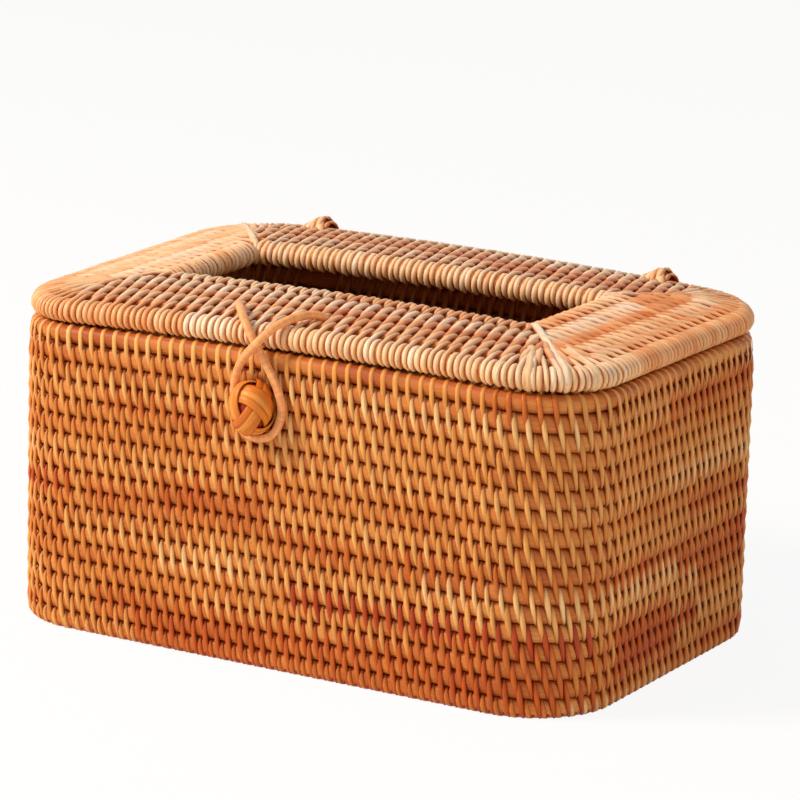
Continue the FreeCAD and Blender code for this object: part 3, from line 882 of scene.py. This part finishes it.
# %% Hinge ties
TIE_SEED = 340
TIE_STRAND = 2.6 * MM
TIE_THICKNESS = 1.0 * MM
TIE_PLACES = np.array([-4.9, -2.5, -0.1, 2.4, 4.8]) * MM
TIE_RISES = np.array([0.25, 0.55, 0.9, 1.0, 0.6])
TIE_LEAN = 1.2 * MM
TIE_CLEARANCE = 0.4 * MM
TIE_TONES = np.array([0.62, 0.7, 0.54, 0.66, 0.5, 0.55, 0.6])
RIM_RING_PLACES = np.array([-1.0, 1.0]) * MM
RIM_CLEARANCE = 0.6 * MM
LOOP_TURN = np.linspace(0, 2 * np.pi, 25)
CLOSED_TIPS = (0.01, 0.01)
CROSS_TURN = np.radians(np.linspace(-75, 95, 11))
CROSS_REACH = np.array([[1.0], [-1.0]]) * 4.86 * MM
CROSS_LIFT = np.array([[0.0], [0.7]]) * MM
CROSS_SPREAD = 1.6
CROSS_DROP = 0.3
CROSS_WIDTH = 1.3 * TIE_STRAND
CROSS_TIPS = (0.1, 0.1)
CROSS_TONES = np.array([0.8, 0.7])


def rear_arcs(ring, x, turn, radius, lift=0.0):
    """Arcs round the rear run of a ring: circles in the plane of y and z, turned from straight up. Each point
    has its own x, and is raised by lift times the cosine."""
    still = 0 * x
    points = np.stack([x, ring.half_y + radius * np.sin(turn) + still,
                       ring.height + (radius + lift) * np.cos(turn) + still], -1)
    normals = np.stack([still, np.sin(turn) + still, np.cos(turn) + still], -1)
    return points, normals, np.linspace(0, 1, len(turn)) + still


def loop_paths(places, ring, clearance, rises, lean):
    """Closed loops, each raised by its rise at the top with the square of the cosine, that lean along x with the
    sine of the turn."""
    radius = ring.radius + clearance + rises[:, None] * np.clip(np.cos(LOOP_TURN), 0, 1) ** 2
    return rear_arcs(ring, places[:, None] + lean * np.sin(LOOP_TURN), LOOP_TURN, radius)


def cross_paths(middle, top):
    """Two strips that cross over a tie, one each way, furthest from the edge rod at the top."""
    edge = lid[0]
    radius = edge.radius + (top - edge.height - edge.radius) * np.cos(CROSS_TURN / CROSS_SPREAD) ** 2
    x = middle + CROSS_REACH * np.linspace(-1, 1, len(CROSS_TURN))
    return rear_arcs(edge, x, CROSS_TURN, radius, CROSS_LIFT)


for node, middle in zip(TIE_NODES, TIE_MIDDLES):
    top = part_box(node)[1][2] - TIE_THICKNESS
    rise = top - lid[0].height - lid[0].radius - TIE_CLEARANCE
    edge_loops = loop_paths(middle + TIE_PLACES, lid[0], TIE_CLEARANCE, rise * TIE_RISES, TIE_LEAN)
    rim_loops = loop_paths(middle + RIM_RING_PLACES, wall[-1], RIM_CLEARANCE, 0 * RIM_RING_PLACES, 0.0)
    loops = tuple(np.concatenate(parts) for parts in zip(edge_loops, rim_loops))
    draw = np.random.default_rng(TIE_SEED)
    bands = put_stitches(f"{node}_loops", "lid", loops, draw, TIE_STRAND, TIE_THICKNESS, CLOSED_TIPS, TIE_TONES)
    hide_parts(node)
    put_stitches(f"{node}_cross", "lid", cross_paths(middle, top - CROSS_DROP * rise), draw, CROSS_WIDTH,
                 TIE_THICKNESS, CROSS_TIPS, CROSS_TONES)
print(len(TIE_NODES), "hinge ties")

# %% [markdown]
# The clasp's knot is a ball plaited from three bands, each three strips wide and each a great circle square to
# the other two. Every band passes over one of the others and under the next, as its distance from the middle
# follows the cosine of twice the turn. The eight corners between the bands stay open, and a core darkened with
# painted shade fills the ball.

# %% Knot
KNOT_LOW, KNOT_HIGH = np.array(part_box("clasp_knot"))
KNOT_STRIP = 2.425 * MM
KNOT_WIDTH = 3.1 * MM
KNOT_THICKNESS = 0.4 * MM
KNOT_WEAVE = 0.085
KNOT_HOLE = np.array([0.04, -0.988, 0.15])
KNOT_SPIN = np.radians(-10.0)
KNOT_STEPS = 49
KNOT_BACK = KNOT_HIGH[1] - 0.4 * MM
KNOT_GROWTH = 1.06
KNOT_TONES = np.array([0.6, 0.72, 0.56, 0.52, 0.68, 0.46, 0.5, 0.7, 0.58])
CORE_SHARE = 0.9
# Tone of the core, and the painted shade that darkens it for the inside of the ball
CORE_TONE, CORE_PAINTED_SHADE = np.array(0.1), 0.7
CORE_TURN = full_turn(20)
CORE_FALL = np.radians(np.linspace(4, 176, 12))[:, None]


def turned_corner(hole, spin):
    """Turn that brings the corner (1, 1, 1) to the hole's direction, with a spin about it."""
    corner = np.ones(3) / np.sqrt(3)
    side = unit(np.array([1.0, -1.0, 0.0]))
    level = unit(np.cross([0.0, 0.0, 1.0], hole))
    swung = np.cos(spin) * level + np.sin(spin) * np.cross(hole, level)
    before = np.stack([corner, side, np.cross(corner, side)], 1)
    after = np.stack([unit(hole), swung, np.cross(unit(hole), swung)], 1)
    return after @ before.T


def knot_paths(half, centre, turned):
    """Nine strips: for each of three axes, three small circles about it, side by side, on an ellipsoid. Their
    ends meet a quarter turn on, where another band covers them."""
    turn = np.linspace(0, 2 * np.pi, KNOT_STEPS) + np.pi / 2
    tilt = np.array([-1, 0, 1]) * KNOT_STRIP / half.mean()
    ring = np.stack([np.sin(tilt)[:, None] + 0 * turn, np.cos(tilt)[:, None] * np.cos(turn),
                     np.cos(tilt)[:, None] * np.sin(turn)], -1)
    away = np.concatenate([np.roll(ring, axis, -1) for axis in range(3)]) @ turned.T
    weave = 1 + KNOT_WEAVE * np.cos(2 * turn)[None, :, None]
    share = np.linspace(0, 1, KNOT_STEPS)[None] * np.ones((len(away), 1))
    return centre + away * weave * half, unit(away / half), share


# The ball is as deep as it is wide, and only its front is free
knot_half = (KNOT_HIGH - KNOT_LOW)[[0, 0, 2]] / 2
knot_centre = KNOT_LOW + knot_half
strip_half = (KNOT_GROWTH * knot_half - KNOT_THICKNESS) / (1 + KNOT_WEAVE)
knot_strips = knot_paths(strip_half, knot_centre, turned_corner(KNOT_HOLE, KNOT_SPIN))
each = np.ones(len(KNOT_TONES))
knot_grid, knot_uv = lay_strips(knot_strips, KNOT_WIDTH * each, KNOT_THICKNESS * each, CLOSED_TIPS)
knot_grid[..., 1] = np.minimum(knot_grid[..., 1], KNOT_BACK)
knot_colours = palette_colour(KNOT_PALETTE, KNOT_TONES)[:, None, None]
knot = put_mesh("clasp_knot_strips", knot_grid, knot_colours, knot_uv)
dress(knot, strip_finish, "box", "rattan_strand", "clasp_knot")

core_level = np.sin(CORE_FALL)[..., None] * np.stack([np.cos(CORE_TURN), np.sin(CORE_TURN)], -1)
core_away = stand(core_level, np.cos(CORE_FALL))
core_points = knot_centre + core_away * strip_half * CORE_SHARE
core_uv = core_away[..., :2] * strip_half[0] / MM
core_colour = with_painted_shade(palette_colour(KNOT_PALETTE, CORE_TONE), CORE_PAINTED_SHADE)
core = put_mesh("clasp_knot_core", core_points[None], core_colour, core_uv[None])
dress(core, rod_finish, "box", "rattan_strand")
print("knot of", len(knot_grid), "strips")

# %% [markdown]
# Behind the knot a short strip ties it to one rod of the wall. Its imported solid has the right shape, so it
# keeps its mesh. Its rattan finish reads Object coordinates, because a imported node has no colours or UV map.

# %% Knot tail
TAIL_FIBRE = np.array([4.8, 0.4, 0.4]) * MM
# Split rattan skin on the hidden tie behind the knot: one colour, streaked by noise drawn out along X
tail_finish, tail_tree, tail_shader = new_finish("split_rattan_tie")
tail_place = add_node(tail_tree, "ShaderNodeTexCoord")
tail_fibres = add_node(tail_tree, "ShaderNodeMapping", inputs={
    "Vector": tail_place.outputs["Object"], "Scale": tuple(1 / TAIL_FIBRE)})
tail_noise = add_node(tail_tree, "ShaderNodeTexNoise", inputs={"Vector": tail_fibres, "Scale": 1.0})
tail_shade = add_node(tail_tree, "ShaderNodeMapRange", inputs={
    "Value": tail_noise, "To Min": 0.6, "To Max": 1.3})
tail_tinted = add_node(tail_tree, "ShaderNodeVectorMath", {"operation": "SCALE"}, {
    "Vector": tuple(linear("#c97b34")), "Scale": tail_shade})
set_inputs(tail_shader, {"Base Color": tail_tinted, "Roughness": 0.5})
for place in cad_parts["clasp_knot_tail"].material_slots:
    place.material = tail_finish
print("knot tail keeps its solid")

# %% [markdown]
# The base is a raft of straight rods inside the lowest course. Only its upper side carries stitches, because the
# box stands on its lower side. A straight rod is a circle carried from one end of its node's box to the other.

# %% Base
BASE_NODES = sorted(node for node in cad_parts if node.startswith("base_rod_"))
BASE_SEED, BASE_TONE_SEED = 400, 60
BASE_STEPS = 24
BASE_PITCH = 6.0 * MM
BASE_MARGIN = 5.0 * MM
BASE_SWELL = 0.5 * MM


def put_base_rod(node, seed):
    """Round bar along X in its node's box, swollen sideways until it meets the next bar."""
    low, high = np.array(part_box(node))
    radius = (high[2] - low[2]) / 2
    centre = (low + high) / 2
    run = np.linspace(low[0], high[0], BASE_STEPS)
    side = centre[1] + (radius + BASE_SWELL) * np.cos(ROD_TURN)
    points = np.stack(np.broadcast_arrays(run[:, None], side, centre[2] + radius * np.sin(ROD_TURN)), -1)
    # Painted shade in the crevices beside the bar, growing with the fourth power of the cosine of the turn
    return put_rod(node, points, radius, run, seed, np.cos(ROD_TURN) ** 4, "box")


def base_paths(node, other, shift):
    """Strips over two neighbouring base rods, side by side along X as far as the shorter rod goes."""
    (low, high), (other_low, other_high) = (np.array(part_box(name)) for name in (node, other))
    rod = wall[0]._replace(radius=(high[2] - low[2]) / 2, swell=0.0, flat=1.0)
    reach = min(high[0], other_high[0]) - BASE_MARGIN
    x = ROW_STEPS * BASE_PITCH + shift
    x = x[np.abs(x) < reach]
    gap = np.full(len(x), (other_low[1] + other_high[1] - low[1] - high[1]) / 2)
    section = over_rods(rod, rod, gap, DIVE, RISE)
    along = lean_along(x, STITCH_LEAN, section.share)
    points = np.stack([along, (low[1] + high[1]) / 2 + section.p, rod.radius + section.q], -1)
    turn = section.angle + 0 * along
    return points, np.stack([0 * along, np.sin(turn), np.cos(turn)], -1), section.share


for seed, node in enumerate(BASE_NODES, start=BASE_TONE_SEED):
    put_base_rod(node, seed)
for row, (node, other) in enumerate(zip(BASE_NODES, BASE_NODES[1:])):
    paths = base_paths(node, other, 0.5 * BASE_PITCH * (row % 2))
    draw = np.random.default_rng(BASE_SEED + row)
    tones = run_tones(draw, paths[0][:, 0, 0] + CAD_BOX[1][0], WALL_TONES, WALL_TONE_SHARES)
    put_stitches(f"base_stitches_{row:02d}", "box", paths, draw, STITCH_WIDTH, STITCH_THICKNESS, STITCH_TIPS,
                 tones)
print(len(BASE_NODES), "base rods")

# %% [markdown]
# A plain pale floor runs on into the background without an edge. It is nearly white to the camera and keeps the
# object's soft shadow. A large soft lamp stands at the front left above the lid, a weaker one fills from the
# right, and an even sky lights the rest.

# %% Floor and light
FLOOR_DROP = 0.2 * MM
FLOOR_HALF = 6.0
PAPER_GLOW = 0.9
SKY_STRENGTH = 0.36
# Each lamp: name, place, side, power and colour
LAMPS = [("key", (-1.3, -1.1, 1.4), 0.6, 50.0, "#fff0dc"), ("fill", (1.5, -0.7, 0.8), 1.2, 5.8, "#fff4e4")]


def seen_directly(tree, factor):
    """Factor where a ray comes from the camera, a mirror or glass, and 0 for the rays that light the object."""
    rays = add_node(tree, "ShaderNodeLightPath")
    total = rays.outputs["Is Camera Ray"]
    for kind in ("Is Glossy Ray", "Is Transmission Ray"):
        total = add_node(tree, "ShaderNodeMath", {"operation": "MAXIMUM"}, {0: total, 1: rays.outputs[kind]})
    return add_node(tree, "ShaderNodeMath", {"operation": "MULTIPLY"}, {0: total, 1: factor})


floor_mesh = bpy.data.meshes.new("floor")
floor_corners = np.array([(-1, -1), (1, -1), (1, 1), (-1, 1)]) * FLOOR_HALF
floor_mesh.from_pydata(stand(floor_corners, -FLOOR_DROP), [], [(0, 1, 2, 3)])
floor = add_object("floor", floor_mesh)
# White backdrop paper: matt, with no gloss
paper, paper_tree, paper_shader = new_finish("white_backdrop_paper")
set_inputs(paper_shader, {"Base Color": (*linear("#f7f5f2"), 1.0), "Roughness": 0.9})
glow = add_node(paper_tree, "ShaderNodeEmission", inputs={"Strength": 1.0})
mixed = add_node(paper_tree, "ShaderNodeMixShader", inputs={
    0: seen_directly(paper_tree, PAPER_GLOW), 1: paper_shader, 2: glow})
set_inputs(paper_tree.nodes["Material Output"], {"Surface": mixed})
floor_mesh.materials.append(paper)

world = bpy.data.worlds.new("studio")
bpy.context.scene.world = world
world.use_nodes = True
strength = add_node(world.node_tree, "ShaderNodeMath", {"operation": "ADD"}, {
    0: seen_directly(world.node_tree, 1 - SKY_STRENGTH), 1: SKY_STRENGTH})
set_inputs(world.node_tree.nodes["Background"], {"Color": (1.0, 1.0, 1.0, 1.0), "Strength": strength})


def add_lamp(name, place, size, power, colour):
    """Square soft lamp that looks at the middle of the object."""
    lamp = bpy.data.lights.new(name, "AREA")
    lamp.size = size
    lamp.energy = power
    lamp.color = linear(colour)
    holder = add_object(name, lamp)
    holder.location = place
    aim = Vector(LOOK_AT) - holder.location
    holder.rotation_euler = aim.to_track_quat("-Z", "Y").to_euler()


for lamp_values in LAMPS:
    add_lamp(*lamp_values)
bpy.context.scene.view_settings.view_transform = "Standard"
print("floor, sky and", len(LAMPS), "lamps")
